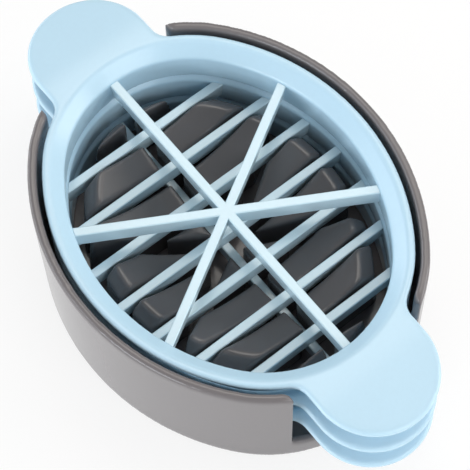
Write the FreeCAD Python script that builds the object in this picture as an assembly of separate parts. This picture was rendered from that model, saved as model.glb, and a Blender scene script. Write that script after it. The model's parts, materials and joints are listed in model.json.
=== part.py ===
import FreeCAD, Part
import math
import os

# Oval three-in-one egg slicer: a deep oval bowl with a grooved egg cradle,
# and three loose cutting frames stacked in it. From the bottom up they cut
# halves, slices and wedges. Millimetres, +Z up, +X along the handle tabs,
# origin under the middle of the bowl.

Vector = FreeCAD.Vector
UP = Vector(0, 0, 1)
ALONG_X = Vector(1, 0, 0)
ALONG_Y = Vector(0, 1, 0)

# Oval opening that all three cutting frames share, drawn with four arcs
opening_half_length = 45.0
opening_half_width = 35.4

# Section of a frame's ring: a funnel on top and a straight skirt below
funnel_width = 3.6
funnel_rise = 3.5
land_width = 1.65
rim_thickness = 2.0
skirt_depth = 8.9
skirt_outset = 1.64
skirt_wall = 1.3
flange_depth = 4.6
rim_bevel = 0.6
rim_under_bevel = 0.5
funnel_edge_round = 0.3
funnel_crest_round = 1.9

# Handle tabs at both ends of a frame
tab_half_width = 15.8
tab_length = 19.75
neck_radius = 5.0
tab_slope = 5.0
tab_bend_radius = 60.0

# Cutting blades: bars that narrow towards the cutting edge below
blade_width = 2.4
blade_edge = 1.2
blade_depth = 6.2
blade_bevel = 0.25
slice_blade_count = 7
slice_pitch = 11.25
wedge_blade_angles = (0.0, 60.0, 120.0)

# Bowl
wall = 2.3
floor_height = 4.3
floor_thickness = 2.2
bowl_draft = 0.2
rim_rise = 0.5
rim_edge_round = 0.7
foot_bevel = 1.0
notch_sill = 4.3
notch_corner = 1.2
notch_rim_corner = 2.0

# Egg cradle: a mound of blocks with a dished top and sloping shoulders
cradle_foot_inset = 2.2
shoulder_inset = 3.8
shoulder_drop = 3.2
shoulder_slope = 45.0
shoulder_round = 1.6
crest_rise = 1.5
dish_depth = 9.0
dish_length_radius = 78.0
dish_width_radius = 48.0
end_row_setback = 3.0
block_bevel = 0.7
smallest_block = 150.0

# Clearances
seat_gap = 0.42
bowl_gap_length = 1.5
bowl_gap_width = 1.2
notch_gap = 3.0
groove_gap = 0.6

# Levels that follow from the stack
ring_outset = funnel_width + land_width
tab_reach = opening_half_length + ring_outset + tab_length
seat_height = skirt_outset * funnel_rise / funnel_width
stack_pitch = skirt_depth + seat_height + seat_gap
half_level = floor_height + seat_gap + skirt_depth
slice_level = half_level + stack_pitch
wedge_level = slice_level + stack_pitch
bowl_height = wedge_level + funnel_rise + rim_rise
crest_level = slice_level + crest_rise
past = 1.0
close = 1e-4
line_samples = 5


def oval(outset, z):
    """Closed oval wire that stands outside the opening by outset."""
    half_length = opening_half_length + outset
    half_width = opening_half_width + outset
    return oval_wire(half_length, half_width, opening_end_radius() + outset, z)


def end_radius_of(half_length, half_width):
    """Radius of the end arcs in the usual four-centre drawing of an oval."""
    diagonal = math.hypot(half_length, half_width)
    return diagonal * (diagonal - half_length + half_width) / (2 * half_length)


def opening_end_radius():
    return end_radius_of(opening_half_length, opening_half_width)


def side_radius(half_length, half_width, end_radius):
    """Radius of the side arcs that run smoothly into the end arcs of an oval."""
    run = half_length - end_radius
    return (run**2 + half_width**2 - end_radius**2) / (2 * (half_width - end_radius))


def oval_joint(half_length, half_width, end_radius):
    """Point where an end arc of an oval meets a side arc, in the first quarter."""
    run = half_length - end_radius
    turn = math.atan2(side_radius(half_length, half_width, end_radius) - half_width, run)
    return Vector(run + end_radius * math.cos(turn), end_radius * math.sin(turn), 0)


def oval_wire(half_length, half_width, end_radius, z):
    joint = oval_joint(half_length, half_width, end_radius)
    corners = [
        Vector(joint.x, -joint.y, z),
        Vector(joint.x, joint.y, z),
        Vector(-joint.x, joint.y, z),
        Vector(-joint.x, -joint.y, z),
    ]
    crests = [
        Vector(half_length, 0, z),
        Vector(0, half_width, z),
        Vector(-half_length, 0, z),
        Vector(0, -half_width, z),
    ]
    ends = corners[1:] + corners[:1]
    return Part.Wire([Part.Arc(*points).toShape() for points in zip(corners, crests, ends)])


def loft(*wires):
    """Solid with straight sides between ovals."""
    return Part.makeLoft(list(wires), True, True)


def edges_where(shape, test):
    return [edge for edge in shape.Edges if test(edge)]


def edge_levels(edge):
    box = edge.BoundBox
    return box.ZMin, box.ZMax


def lies_at(edge, z):
    low, high = edge_levels(edge)
    return abs(low - z) < close and abs(high - z) < close


def neck_centre():
    """Centre of the hollow round between ring and tab, and its foot on the ring."""
    ring_centre = Vector(opening_half_length - opening_end_radius(), 0, 0)
    ring_radius = opening_end_radius() + ring_outset
    rise = tab_half_width + neck_radius
    run = math.sqrt((ring_radius + neck_radius) ** 2 - rise**2)
    centre = ring_centre + Vector(run, rise, 0)
    foot = ring_centre + (centre - ring_centre) * (ring_radius / (ring_radius + neck_radius))
    return foot, centre


def arc_between(start, centre, end):
    """Short arc from start to end about centre."""
    middle = (start + end) * 0.5 - centre
    middle.normalize()
    through = centre + middle * (start - centre).Length
    return Part.Arc(start, through, end).toShape()


def plate_outline():
    """Outline of ring and tabs seen from above."""
    half_length = opening_half_length + ring_outset
    half_width = opening_half_width + ring_outset
    end_radius = opening_end_radius() + ring_outset
    joint = oval_joint(half_length, half_width, end_radius)
    foot, centre = neck_centre()
    ring_centre = Vector(half_length - end_radius, 0, 0)
    shoulder = Vector(centre.x, tab_half_width, 0)
    tip_start = Vector(tab_reach - tab_half_width, tab_half_width, 0)

    def flip(point, x_sign, y_sign):
        return Vector(point.x * x_sign, point.y * y_sign, 0)

    edges = []
    for y_sign in (1, -1):
        ends = flip(joint, 1, y_sign), flip(joint, -1, y_sign)
        edges.append(Part.Arc(ends[0], Vector(0, half_width * y_sign, 0), ends[1]).toShape())
    for x_sign in (1, -1):
        for y_sign in (1, -1):
            points = [flip(point, x_sign, y_sign) for point in (joint, ring_centre, foot, centre, shoulder)]
            edges.append(arc_between(points[0], points[1], points[2]))
            edges.append(arc_between(points[2], points[3], points[4]))
            edges.append(Part.LineSegment(points[4], flip(tip_start, x_sign, y_sign)).toShape())
        tip = Vector(tab_reach * x_sign, 0, 0)
        ends = flip(tip_start, x_sign, 1), flip(tip_start, x_sign, -1)
        edges.append(Part.Arc(ends[0], tip, ends[1]).toShape())
    return Part.Wire(Part.__sortEdges__(edges))


def ring_bore(level):
    """Space inside a ring: a funnel above the opening and a draughted skirt below."""
    over = funnel_rise + past
    funnel = loft(oval(0, level), oval(funnel_width * over / funnel_rise, level + over))
    skirt_inset = skirt_outset - skirt_wall
    under = skirt_depth + past
    skirt = loft(oval(skirt_inset * under / skirt_depth, level - under), oval(0, level))
    return funnel, skirt


def bend_start():
    """Distance from the middle at which a tab begins to bend down."""
    return opening_half_length + ring_outset


def tab_profile(top, depth):
    """Side view of a plate face at depth under the top: flat middle, bent and sloping tabs."""
    radius = tab_bend_radius - depth
    slope = math.radians(tab_slope)
    start = bend_start()
    pivot = top - tab_bend_radius
    reach = tab_reach + past

    def on_bend(turn, side):
        return Vector(side * (start + radius * math.sin(turn)), 0, pivot + radius * math.cos(turn))

    def on_slope(side):
        bend_end = on_bend(slope, side)
        drop = (reach - abs(bend_end.x)) * math.tan(slope)
        return Vector(side * reach, 0, bend_end.z - drop)

    edges = [Part.LineSegment(on_slope(-1), on_bend(slope, -1)).toShape()]
    edges.append(Part.Arc(on_bend(slope, -1), on_bend(slope / 2, -1), on_bend(0, -1)).toShape())
    edges.append(Part.LineSegment(on_bend(0, -1), on_bend(0, 1)).toShape())
    edges.append(Part.Arc(on_bend(0, 1), on_bend(slope / 2, 1), on_bend(slope, 1)).toShape())
    edges.append(Part.LineSegment(on_bend(slope, 1), on_slope(1)).toShape())
    return edges, on_slope(-1), on_slope(1)


def plate(top):
    """Ring and tabs as one plate of even thickness, its edges rounded."""
    upper, upper_left, upper_right = tab_profile(top, 0)
    lower, lower_left, lower_right = tab_profile(top, rim_thickness)
    ends = [Part.LineSegment(upper_left, lower_left).toShape()]
    ends.append(Part.LineSegment(upper_right, lower_right).toShape())
    side_view = Part.Face(Part.Wire(Part.__sortEdges__(upper + lower + ends)))
    reach = opening_half_width + ring_outset + past
    slab = side_view.extrude(Vector(0, 2 * reach, 0))
    slab.translate(Vector(0, -reach, 0))
    plan = Part.Face(plate_outline()).extrude(UP * bowl_height * 2)
    blank = slab.common(plan)
    for edges, size in ((upper, rim_bevel), (lower, rim_under_bevel)):
        blank = blank.makeChamfer(size, outline_edges(blank, edges))
    return blank


def outline_edges(blank, profile):
    """Edges of the plate that follow its outline on the face above or below."""
    face_line = Part.Wire(Part.__sortEdges__(profile))
    picked = []
    for edge in blank.Edges:
        points = edge.discretize(line_samples)
        across = max(abs(point.x - points[0].x) for point in points) < close
        flat = [Part.Vertex(Vector(point.x, 0, point.z)) for point in points]
        on_face = all(face_line.distToShape(vertex)[0] < close for vertex in flat)
        if on_face and not across:
            picked.append(edge)
    return picked


def frame(level):
    """Ring with both tabs; level is the height of the funnel's inner edge."""
    top = level + funnel_rise
    under = top - rim_thickness
    flange_foot = top - flange_depth
    flange = loft(oval(skirt_outset, flange_foot), oval(ring_outset - rim_under_bevel, under))
    skirt = loft(oval(skirt_outset, level - skirt_depth), oval(skirt_outset, flange_foot))
    body = plate(top).fuse([flange, skirt])
    body = body.cut(list(ring_bore(level))).removeSplitter()
    bore_edges = edges_where(body, lambda edge: lies_at(edge, level))
    body = body.makeFillet(funnel_edge_round, bore_edges)
    crest = oval(funnel_width, top)
    crest_edges = edges_where(
        body, lambda edge: lies_at(edge, top) and crest.distToShape(edge)[0] < close
    )
    return body.makeFillet(funnel_crest_round, crest_edges)


def blade(level, reach):
    """Straight bar along X, narrowing downwards, with softened top edges."""
    top = level - funnel_edge_round
    bottom = top - blade_depth
    corners = [
        Vector(-reach, -blade_width / 2, top),
        Vector(-reach, -blade_edge / 2, bottom),
        Vector(-reach, blade_edge / 2, bottom),
        Vector(-reach, blade_width / 2, top),
    ]
    section = Part.Face(Part.makePolygon(corners + corners[:1]))
    return section.extrude(ALONG_X * 2 * reach)


def soften_blade_tops(shape, level):
    top = level - funnel_edge_round
    long_edges = edges_where(
        shape, lambda edge: lies_at(edge, top) and edge.Length > 2 * blade_width
    )
    return shape.makeChamfer(blade_bevel, long_edges)


def slice_positions():
    middle = (slice_blade_count - 1) / 2
    return [(index - middle) * slice_pitch for index in range(slice_blade_count)]


def half_blade():
    bar = blade(half_level, opening_half_length + past)
    bar = bar.common(ring_bore(half_level)[1])
    return soften_blade_tops(bar, half_level)


def slice_blade(x):
    bar = blade(slice_level, opening_half_width + past)
    bar.rotate(Vector(0, 0, 0), UP, 90)
    bar.translate(ALONG_X * x)
    bar = bar.common(ring_bore(slice_level)[1])
    return soften_blade_tops(bar, slice_level)


def wedge_blades():
    """Three bars through one middle, moulded as a six-armed star."""
    bars = []
    for angle in wedge_blade_angles:
        bar = blade(wedge_level, opening_half_length + past)
        bar.rotate(Vector(0, 0, 0), UP, angle)
        bars.append(bar)
    star = bars[0].fuse(bars[1:]).removeSplitter()
    star = star.common(ring_bore(wedge_level)[1])
    return soften_blade_tops(star, wedge_level)


def bowl_oval(inset, z):
    """Oval of the draughted bowl wall at height z, inset from its outer face."""
    taper = (bowl_height - z) * math.tan(math.radians(bowl_draft))
    half_length = opening_half_length + ring_outset + bowl_gap_length + wall
    half_width = opening_half_width + ring_outset + bowl_gap_width + wall
    end_radius = end_radius_of(half_length, half_width)
    shrink = inset + taper
    return oval_wire(half_length - shrink, half_width - shrink, end_radius - shrink, z)


def notch_prism():
    """Cut for the tabs: a U with rounded foot corners and a flared mouth."""
    half = tab_half_width + notch_gap
    sill = floor_height + notch_sill
    mouth = half + notch_rim_corner
    over = bowl_height + past
    bend = math.sqrt(0.5)

    def at(y, z):
        return Vector(0, y, z)

    edges = [Part.LineSegment(at(mouth, over), at(-mouth, over)).toShape()]
    edges.append(Part.LineSegment(at(half - notch_corner, sill), at(notch_corner - half, sill)).toShape())
    for side in (1, -1):
        lip = at(side * mouth, bowl_height)
        lip_end = at(side * half, bowl_height - notch_rim_corner)
        lip_mid = at(
            side * (mouth - notch_rim_corner * bend),
            bowl_height - notch_rim_corner * (1 - bend),
        )
        foot_start = at(side * half, sill + notch_corner)
        foot_end = at(side * (half - notch_corner), sill)
        foot_mid = at(
            side * (half - notch_corner * (1 - bend)), sill + notch_corner * (1 - bend)
        )
        edges.append(Part.LineSegment(at(side * mouth, over), lip).toShape())
        edges.append(Part.Arc(lip, lip_mid, lip_end).toShape())
        edges.append(Part.LineSegment(lip_end, foot_start).toShape())
        edges.append(Part.Arc(foot_start, foot_mid, foot_end).toShape())
    outline = Part.Wire(Part.__sortEdges__(edges))
    reach = opening_half_length + ring_outset + bowl_gap_length + wall + past
    prism = Part.Face(outline).extrude(ALONG_X * 2 * reach)
    prism.translate(ALONG_X * -reach)
    return prism


def bowl():
    shell = loft(bowl_oval(0, 0), bowl_oval(0, bowl_height))
    rim_edges = edges_where(shell, lambda edge: lies_at(edge, bowl_height))
    shell = shell.makeFillet(rim_edge_round, rim_edges)
    foot_edges = edges_where(shell, lambda edge: lies_at(edge, 0))
    shell = shell.makeChamfer(foot_bevel, foot_edges)
    inside = loft(bowl_oval(wall, floor_height), bowl_oval(wall, bowl_height + past))
    under = loft(bowl_oval(wall, -past), bowl_oval(wall, floor_height - floor_thickness))
    return shell.cut([inside, under, notch_prism()])


def cradle_mound():
    """Oval mound under the egg: leaning sides, sloping shoulders and a dished top."""
    shoulder_level = crest_level - shoulder_drop
    climb = shoulder_drop + past
    peak_inset = shoulder_inset + climb / math.tan(math.radians(shoulder_slope))
    foot = oval(-cradle_foot_inset, floor_height)
    shoulder = oval(-shoulder_inset, shoulder_level)
    mound = loft(foot, shoulder, oval(-peak_inset, shoulder_level + climb))
    shoulder_edges = edges_where(mound, lambda edge: lies_at(edge, shoulder_level))
    return mound.makeFillet(shoulder_round, shoulder_edges).cut(dish())


def dish():
    """Barrel along X that hollows the cradle like the underside of an egg."""
    low = crest_level - dish_depth
    axis = low + dish_width_radius
    rise = dish_depth + 2 * past
    reach = math.sqrt(dish_length_radius**2 - (dish_length_radius - rise) ** 2)
    ends = [Vector(-reach, 0, low + rise), Vector(reach, 0, low + rise)]
    arc = Part.Arc(ends[0], Vector(0, 0, low), ends[1]).toShape()
    sides = Part.makePolygon([ends[1], Vector(reach, 0, axis), Vector(-reach, 0, axis), ends[0]])
    section = Part.Face(Part.Wire([arc] + sides.Edges))
    return section.revolve(Vector(0, 0, axis), ALONG_X, 360)


def groove(angle, x):
    """Slot through the cradle for one blade, across the whole mound."""
    width = blade_width + 2 * groove_gap
    length = 2 * (opening_half_length + past)
    slot = Part.makeBox(length, width, bowl_height, Vector(-length / 2, -width / 2, floor_height - past))
    slot.rotate(Vector(0, 0, 0), UP, angle)
    slot.translate(ALONG_X * x)
    return slot


def cradle_blocks():
    """Blocks on the left half of the cradle, keyed by row along X."""
    slots = [groove(90, x) for x in slice_positions()]
    slots += [groove(angle, 0) for angle in wedge_blade_angles]
    end_wall = slice_positions()[-1] + end_row_setback
    slots += [groove(90, end_wall), groove(90, -end_wall)]
    rows = {}
    for piece in cradle_mound().cut(slots).Solids:
        centre = piece.CenterOfMass
        if piece.Volume < smallest_block or centre.y < 0:
            continue
        row = int(round(centre.x / slice_pitch + slice_blade_count / 2.0)) + 1
        rows.setdefault(row, []).append(soften_block(piece))
    return rows


def soften_block(piece):
    """Block with bevelled upper edges, or the plain block where they are too short for a bevel."""
    upper_edges = edges_where(piece, lambda edge: edge_levels(edge)[0] > floor_height + close)
    try:
        softened = piece.makeChamfer(block_bevel, upper_edges)
    except Part.OCCError:
        return piece
    return softened if softened.isValid() else piece


def save(shape, name):
    shape.exportStep("parts/" + name + ".step")


def main():
    os.makedirs("parts", exist_ok=True)
    save(bowl(), "base_bowl")
    for row, blocks in sorted(cradle_blocks().items()):
        left = blocks[0] if len(blocks) == 1 else Part.makeCompound(blocks)
        save(left, "cradle_row_%d_left" % row)
        save(left.mirror(Vector(0, 0, 0), ALONG_Y), "cradle_row_%d_right" % row)
    save(frame(half_level), "half_frame")
    save(half_blade(), "half_blade")
    save(frame(slice_level), "slice_frame")
    for number, x in enumerate(slice_positions(), 1):
        save(slice_blade(x), "slice_blade_%d" % number)
    save(frame(wedge_level), "wedge_frame")
    save(wedge_blades(), "wedge_blades")


main()
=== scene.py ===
import json
import math

import bpy
import bmesh
from mathutils import Matrix, Vector


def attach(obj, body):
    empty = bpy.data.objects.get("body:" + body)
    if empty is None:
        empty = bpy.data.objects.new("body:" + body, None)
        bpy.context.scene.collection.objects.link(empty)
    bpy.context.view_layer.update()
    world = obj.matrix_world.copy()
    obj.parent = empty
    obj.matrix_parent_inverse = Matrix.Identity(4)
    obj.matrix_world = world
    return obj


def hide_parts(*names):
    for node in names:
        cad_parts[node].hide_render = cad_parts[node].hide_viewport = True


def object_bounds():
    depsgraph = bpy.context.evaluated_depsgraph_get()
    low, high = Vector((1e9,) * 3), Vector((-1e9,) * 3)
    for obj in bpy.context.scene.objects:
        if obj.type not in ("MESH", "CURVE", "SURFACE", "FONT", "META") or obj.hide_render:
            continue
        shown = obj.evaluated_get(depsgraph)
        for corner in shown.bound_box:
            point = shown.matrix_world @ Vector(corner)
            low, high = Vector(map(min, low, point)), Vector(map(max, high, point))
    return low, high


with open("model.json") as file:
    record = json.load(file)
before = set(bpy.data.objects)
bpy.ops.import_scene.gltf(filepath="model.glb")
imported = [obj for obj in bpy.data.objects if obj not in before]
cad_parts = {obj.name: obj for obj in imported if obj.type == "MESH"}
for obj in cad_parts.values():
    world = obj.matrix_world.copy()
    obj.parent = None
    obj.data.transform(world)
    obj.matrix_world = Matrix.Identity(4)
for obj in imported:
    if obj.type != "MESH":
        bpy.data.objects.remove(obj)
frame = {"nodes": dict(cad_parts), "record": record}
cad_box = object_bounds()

# Oval three-in-one egg slicer: a grey bowl with a grooved egg cradle, and three
# light blue cutting frames stacked in it. Metres, +Z up, +X along the tabs.

MM = 0.001

# Camera, fitted to the photograph: it looks at a point just above the wedge blades.
# Angles are in degrees, the sensor and the focal length in millimetres.
VIEW_TURN = 52.97
VIEW_HEIGHT = 65.11
VIEW_ROLL = -1.74
VIEW_DISTANCE = 483.9 * MM
VIEW_TARGET = Vector((6.46 * MM, -2.62 * MM, 35.4 * MM))
SENSOR_WIDTH = 36.0
FOCAL_LENGTH = 155.0
NEAREST_SEEN = 10 * MM

# Moulded plastics: colours, roughness, and the scale and depth of the skin's grain
FRAME_BLUE = (0.492, 0.697, 0.832)
# Blade blue is the frame plastic painted paler: a painted sheen on the blade tops
BLADE_BLUE_PAINTED_SHEEN = (0.585, 0.755, 0.84)
BOWL_GREY = (0.162, 0.149, 0.152)
# Cradle grey is the bowl plastic painted darker: painted shade on the blocks deep in the bowl
CRADLE_GREY_PAINTED_SHADE = (0.097, 0.094, 0.099)
SATIN = 0.24
GLOSSY = 0.17
FINE_GRAIN = (900.0, 0.01 * MM)
DEEP_GRAIN = (1100.0, 0.02 * MM)
GRAIN_STRENGTH = 0.1
CLOUD_SCALE = 45.0
CLOUD_SHARE = 0.5
NOISE_DETAIL = 1.0
DARKER = 0.97
LIGHTER = 1.03
ROUGHNESS_SPREAD = 0.02
PLASTIC_IOR = 1.49

# Floor: a white glow of strength 1, mixed with a lit surface that keeps the shadow
WHITE = (1.0, 1.0, 1.0)
FLOOR_WHITE = (0.95, 0.95, 0.95)
FLOOR_GLOW = 1.0
FLOOR_GLOW_SHARE = 0.8
FLOOR_HALF = 20.0
FLOOR_GAP = 0.05 * MM

# Studio light: name, place, width, height, power and colour of each softbox,
# in metres and watts
ROOM_LIGHT = 0.46
COOL = (0.9, 0.95, 1.0)
WARM = (1.0, 0.96, 0.9)
SOFTBOXES = [
    ("front_softbox", (0.1, -1.0, 0.15), 0.6, 0.5, 6.0, COOL),
    ("strip_softbox", (-0.7, -0.66, 0.22), 1.2, 0.3, 3.0, COOL),
    ("left_softbox", (-0.95, -0.1, 0.22), 0.8, 0.5, 1.3, COOL),
    ("near_softbox", (0.85, 0.05, 0.5), 0.55, 0.55, 2.6, WHITE),
    ("back_softbox", (0.0, 0.7, 0.7), 0.55, 0.55, 1.7, WARM),
    ("right_softbox", (0.6, 0.75, 0.35), 0.55, 0.55, 3.4, WHITE),
    ("top_softbox", (-0.29, 0.25, 0.925), 0.46, 0.46, 2.0, WARM),
]

# Rounding of the mouldings: width of the bevel on sharp edges, size of the even
# grid and passes of smoothing
SAME_POINT = 0.001 * MM
SAME_PLANE = math.radians(0.5)
EDGE_ANGLE = math.radians(38)
EDGE_STEPS = 3
SMOOTHING_SHARE = 0.5
BLADE_ROUND = 0.12 * MM
FRAME_ROUND, FRAME_GRID, FRAME_SMOOTHING = 0.3 * MM, 0.4 * MM, 4
BOWL_ROUND, BOWL_GRID, BOWL_SMOOTHING = 0.5 * MM, 0.66 * MM, 12
BLOCK_ROUND, BLOCK_GRID, BLOCK_SMOOTHING = 0.3 * MM, 0.4 * MM, 8


class Shade:
    """A shader socket that takes part in Python arithmetic."""

    def __init__(self, finish, socket):
        self.finish = finish
        self.socket = socket

    def math(self, operation, other):
        settings = {"operation": operation}
        return self.finish.add("ShaderNodeMath", settings, {0: self, 1: other})

    def __add__(self, other):
        return self.math("ADD", other)

    __radd__ = __add__

    def __mul__(self, other):
        return self.math("MULTIPLY", other)

    __rmul__ = __mul__


class Finish:
    """One procedural material, built node by node."""

    def __init__(self, name):
        self.material = bpy.data.materials.new(name)
        self.material.use_nodes = True
        self.tree = self.material.node_tree
        self.tree.nodes.clear()

    def add(self, kind, settings=None, sockets=None, out=0):
        """Adds a node, sets it, fills or links its sockets and returns one output."""
        node = self.tree.nodes.new(kind)
        for key, value in (settings or {}).items():
            setattr(node, key, value)
        for key, value in (sockets or {}).items():
            if isinstance(value, Shade):
                self.tree.links.new(value.socket, node.inputs[key])
            else:
                node.inputs[key].default_value = value
        return Shade(self, node.outputs[out]) if node.outputs else None

    def noise(self, scale):
        place = self.add("ShaderNodeTexCoord", out="Object")
        sockets = {"Vector": place, "Scale": scale, "Detail": NOISE_DETAIL}
        return self.add("ShaderNodeTexNoise", sockets=sockets, out="Fac")

    def mix(self, factor, first, second):
        # The Mix node's colours are its inputs 6 and 7 and its output 2
        settings = {"data_type": "RGBA"}
        sockets = {"Factor": factor, 6: opaque(first), 7: opaque(second)}
        return self.add("ShaderNodeMix", settings, sockets, out=2)

    def surface(self, shader):
        self.add("ShaderNodeOutputMaterial", sockets={"Surface": shader})
        return self.material


def opaque(colour):
    return colour + (1.0,)


def shifted(colour, share):
    return tuple(channel * share for channel in colour)


def moulded_plastic(name, colour, roughness, grain_scale, grain_depth):
    """Moulded plastic: faint cloudiness in the colour and a fine skin on the surface."""
    finish = Finish(name)
    cloud = finish.noise(CLOUD_SCALE)
    grain = finish.noise(grain_scale)
    mottle = CLOUD_SHARE * cloud + (1 - CLOUD_SHARE) * grain
    skin = {"Strength": GRAIN_STRENGTH, "Distance": grain_depth, "Height": grain}
    sockets = {
        "Base Color": finish.mix(mottle, shifted(colour, DARKER), shifted(colour, LIGHTER)),
        "Roughness": roughness - ROUGHNESS_SPREAD + 2 * ROUGHNESS_SPREAD * cloud,
        "IOR": PLASTIC_IOR,
        "Normal": finish.add("ShaderNodeBump", sockets=skin),
    }
    return finish.surface(finish.add("ShaderNodeBsdfPrincipled", sockets=sockets))


def body_of(node):
    bodies = frame["record"]["behaviour"]["bodies"]
    return next(body for body, members in bodies.items() if node in members)


def merged_copy(node):
    """Copy of a CAD node as one closed mesh of flat faces."""
    shape = bmesh.new()
    shape.from_mesh(frame["nodes"][node].data)
    bmesh.ops.remove_doubles(shape, verts=shape.verts, dist=SAME_POINT)
    bmesh.ops.dissolve_limit(
        shape, angle_limit=SAME_PLANE, verts=shape.verts, edges=shape.edges, delimit={"NORMAL"}
    )
    for face in shape.faces:
        face.smooth = True
    mesh = bpy.data.meshes.new(node + "_moulding")
    shape.to_mesh(mesh)
    shape.free()
    piece = bpy.data.objects.new(node + "_moulding", mesh)
    bpy.context.scene.collection.objects.link(piece)
    return piece


def bevel_edges(piece, width):
    bevel = piece.modifiers.new("edge_bevel", "BEVEL")
    bevel.width = width
    bevel.segments = EDGE_STEPS
    bevel.limit_method = "ANGLE"
    bevel.angle_limit = EDGE_ANGLE


def round_edges(piece, width):
    """Rounds a blade's sharp edges and keeps its flats flat."""
    bevel_edges(piece, width)
    shading = piece.modifiers.new("even_shading", "WEIGHTED_NORMAL")
    shading.keep_sharp = True


def round_all_over(piece, width, grid_size, smoothing):
    """Rounds a moulding all over, as a mould with rounded corners does."""
    bevel_edges(piece, width)
    grid = piece.modifiers.new("even_grid", "REMESH")
    grid.mode = "VOXEL"
    grid.voxel_size = grid_size
    grid.use_smooth_shade = True
    smooth = piece.modifiers.new("corner_round", "SMOOTH")
    smooth.factor = SMOOTHING_SHARE
    smooth.iterations = smoothing


def finish_node(part, plastic, rounding, *sizes):
    """Stands a rounded moulding of the given plastic in a CAD node's place."""
    piece = merged_copy(part["node"])
    piece.data.materials.append(plastic)
    rounding(piece, *sizes)
    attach(piece, body_of(part["node"]))
    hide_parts(part["node"])


def finish_nodes():
    frame_plastic = moulded_plastic("frame_plastic", FRAME_BLUE, SATIN, *FINE_GRAIN)
    # The blades take the paler blue, a painted sheen on the same plastic as the frames
    painted_sheen_blade_plastic = moulded_plastic("painted_sheen_blade_plastic", BLADE_BLUE_PAINTED_SHEEN, GLOSSY, *FINE_GRAIN)
    bowl_plastic = moulded_plastic("bowl_plastic", BOWL_GREY, GLOSSY, *DEEP_GRAIN)
    # The cradle blocks take the darker grey, painted shade on the same plastic as the bowl
    painted_shade_cradle_plastic = moulded_plastic("painted_shade_cradle_plastic", CRADLE_GREY_PAINTED_SHADE, SATIN, *DEEP_GRAIN)
    kinds = {
        "frame": (frame_plastic, round_all_over, FRAME_ROUND, FRAME_GRID, FRAME_SMOOTHING),
        "blade": (painted_sheen_blade_plastic, round_edges, BLADE_ROUND),
        "bowl": (bowl_plastic, round_all_over, BOWL_ROUND, BOWL_GRID, BOWL_SMOOTHING),
        "cradle": (painted_shade_cradle_plastic, round_all_over, BLOCK_ROUND, BLOCK_GRID, BLOCK_SMOOTHING),
    }
    for part in frame["record"]["subparts"]:
        kind = next(kind for kind in kinds if kind in part["node"])
        finish_node(part, *kinds[kind])


def floor_material():
    """White to the eye, in reflections and through clear pieces, and lit for the rest."""
    finish = Finish("pale_floor")
    seen = finish.add("ShaderNodeLightPath", out="Is Camera Ray")
    mirrored = finish.add("ShaderNodeLightPath", out="Is Glossy Ray")
    passed = finish.add("ShaderNodeLightPath", out="Is Transmission Ray")
    lit = finish.add("ShaderNodeBsdfDiffuse", sockets={"Color": opaque(FLOOR_WHITE)})
    glow = {"Color": opaque(WHITE), "Strength": FLOOR_GLOW}
    white = finish.add("ShaderNodeEmission", sockets=glow)
    share = FLOOR_GLOW_SHARE * (seen + mirrored + passed)
    return finish.surface(finish.add("ShaderNodeMixShader", sockets={0: share, 1: lit, 2: white}))


def make_floor():
    mesh = bpy.data.meshes.new("floor")
    shape = bmesh.new()
    level = Matrix.Translation((0, 0, cad_box[0].z - FLOOR_GAP))
    bmesh.ops.create_grid(shape, x_segments=1, y_segments=1, size=FLOOR_HALF, matrix=level)
    shape.to_mesh(mesh)
    shape.free()
    floor = bpy.data.objects.new("floor", mesh)
    bpy.context.scene.collection.objects.link(floor)
    mesh.materials.append(floor_material())


def add_softbox(name, place, width, height, power, colour):
    """Area lamp that faces the middle of the slicer."""
    lamp = bpy.data.lights.new(name, "AREA")
    lamp.shape = "RECTANGLE"
    lamp.size = width
    lamp.size_y = height
    lamp.energy = power
    lamp.color = colour
    holder = bpy.data.objects.new(name, lamp)
    holder.location = place
    middle = (cad_box[0] + cad_box[1]) / 2
    holder.rotation_euler = (middle - holder.location).to_track_quat("-Z", "Y").to_euler()
    bpy.context.scene.collection.objects.link(holder)


def light_studio():
    world = bpy.data.worlds.new("studio")
    bpy.context.scene.world = world
    world.use_nodes = True
    background = world.node_tree.nodes["Background"]
    background.inputs["Color"].default_value = opaque(WHITE)
    background.inputs["Strength"].default_value = ROOM_LIGHT
    for softbox in SOFTBOXES:
        add_softbox(*softbox)


def make_camera():
    turn = math.radians(VIEW_TURN)
    height = math.radians(VIEW_HEIGHT)
    back = Vector(
        (math.sin(turn) * math.cos(height), -math.cos(turn) * math.cos(height), math.sin(height))
    )
    right = Vector((0, 0, 1)).cross(back).normalized()
    up = back.cross(right)
    axes = Matrix((right, up, back)).transposed().to_4x4()
    roll = Matrix.Rotation(math.radians(VIEW_ROLL), 4, "Z")
    camera = bpy.data.cameras.new("camera")
    camera.sensor_width = SENSOR_WIDTH
    camera.lens = FOCAL_LENGTH
    camera.clip_start = NEAREST_SEEN
    holder = bpy.data.objects.new("camera", camera)
    holder.matrix_world = Matrix.Translation(VIEW_TARGET + back * VIEW_DISTANCE) @ axes @ roll
    bpy.context.scene.collection.objects.link(holder)
    bpy.context.scene.camera = holder


bpy.context.scene.view_settings.view_transform = "Standard"
finish_nodes()
make_floor()
light_studio()
make_camera()
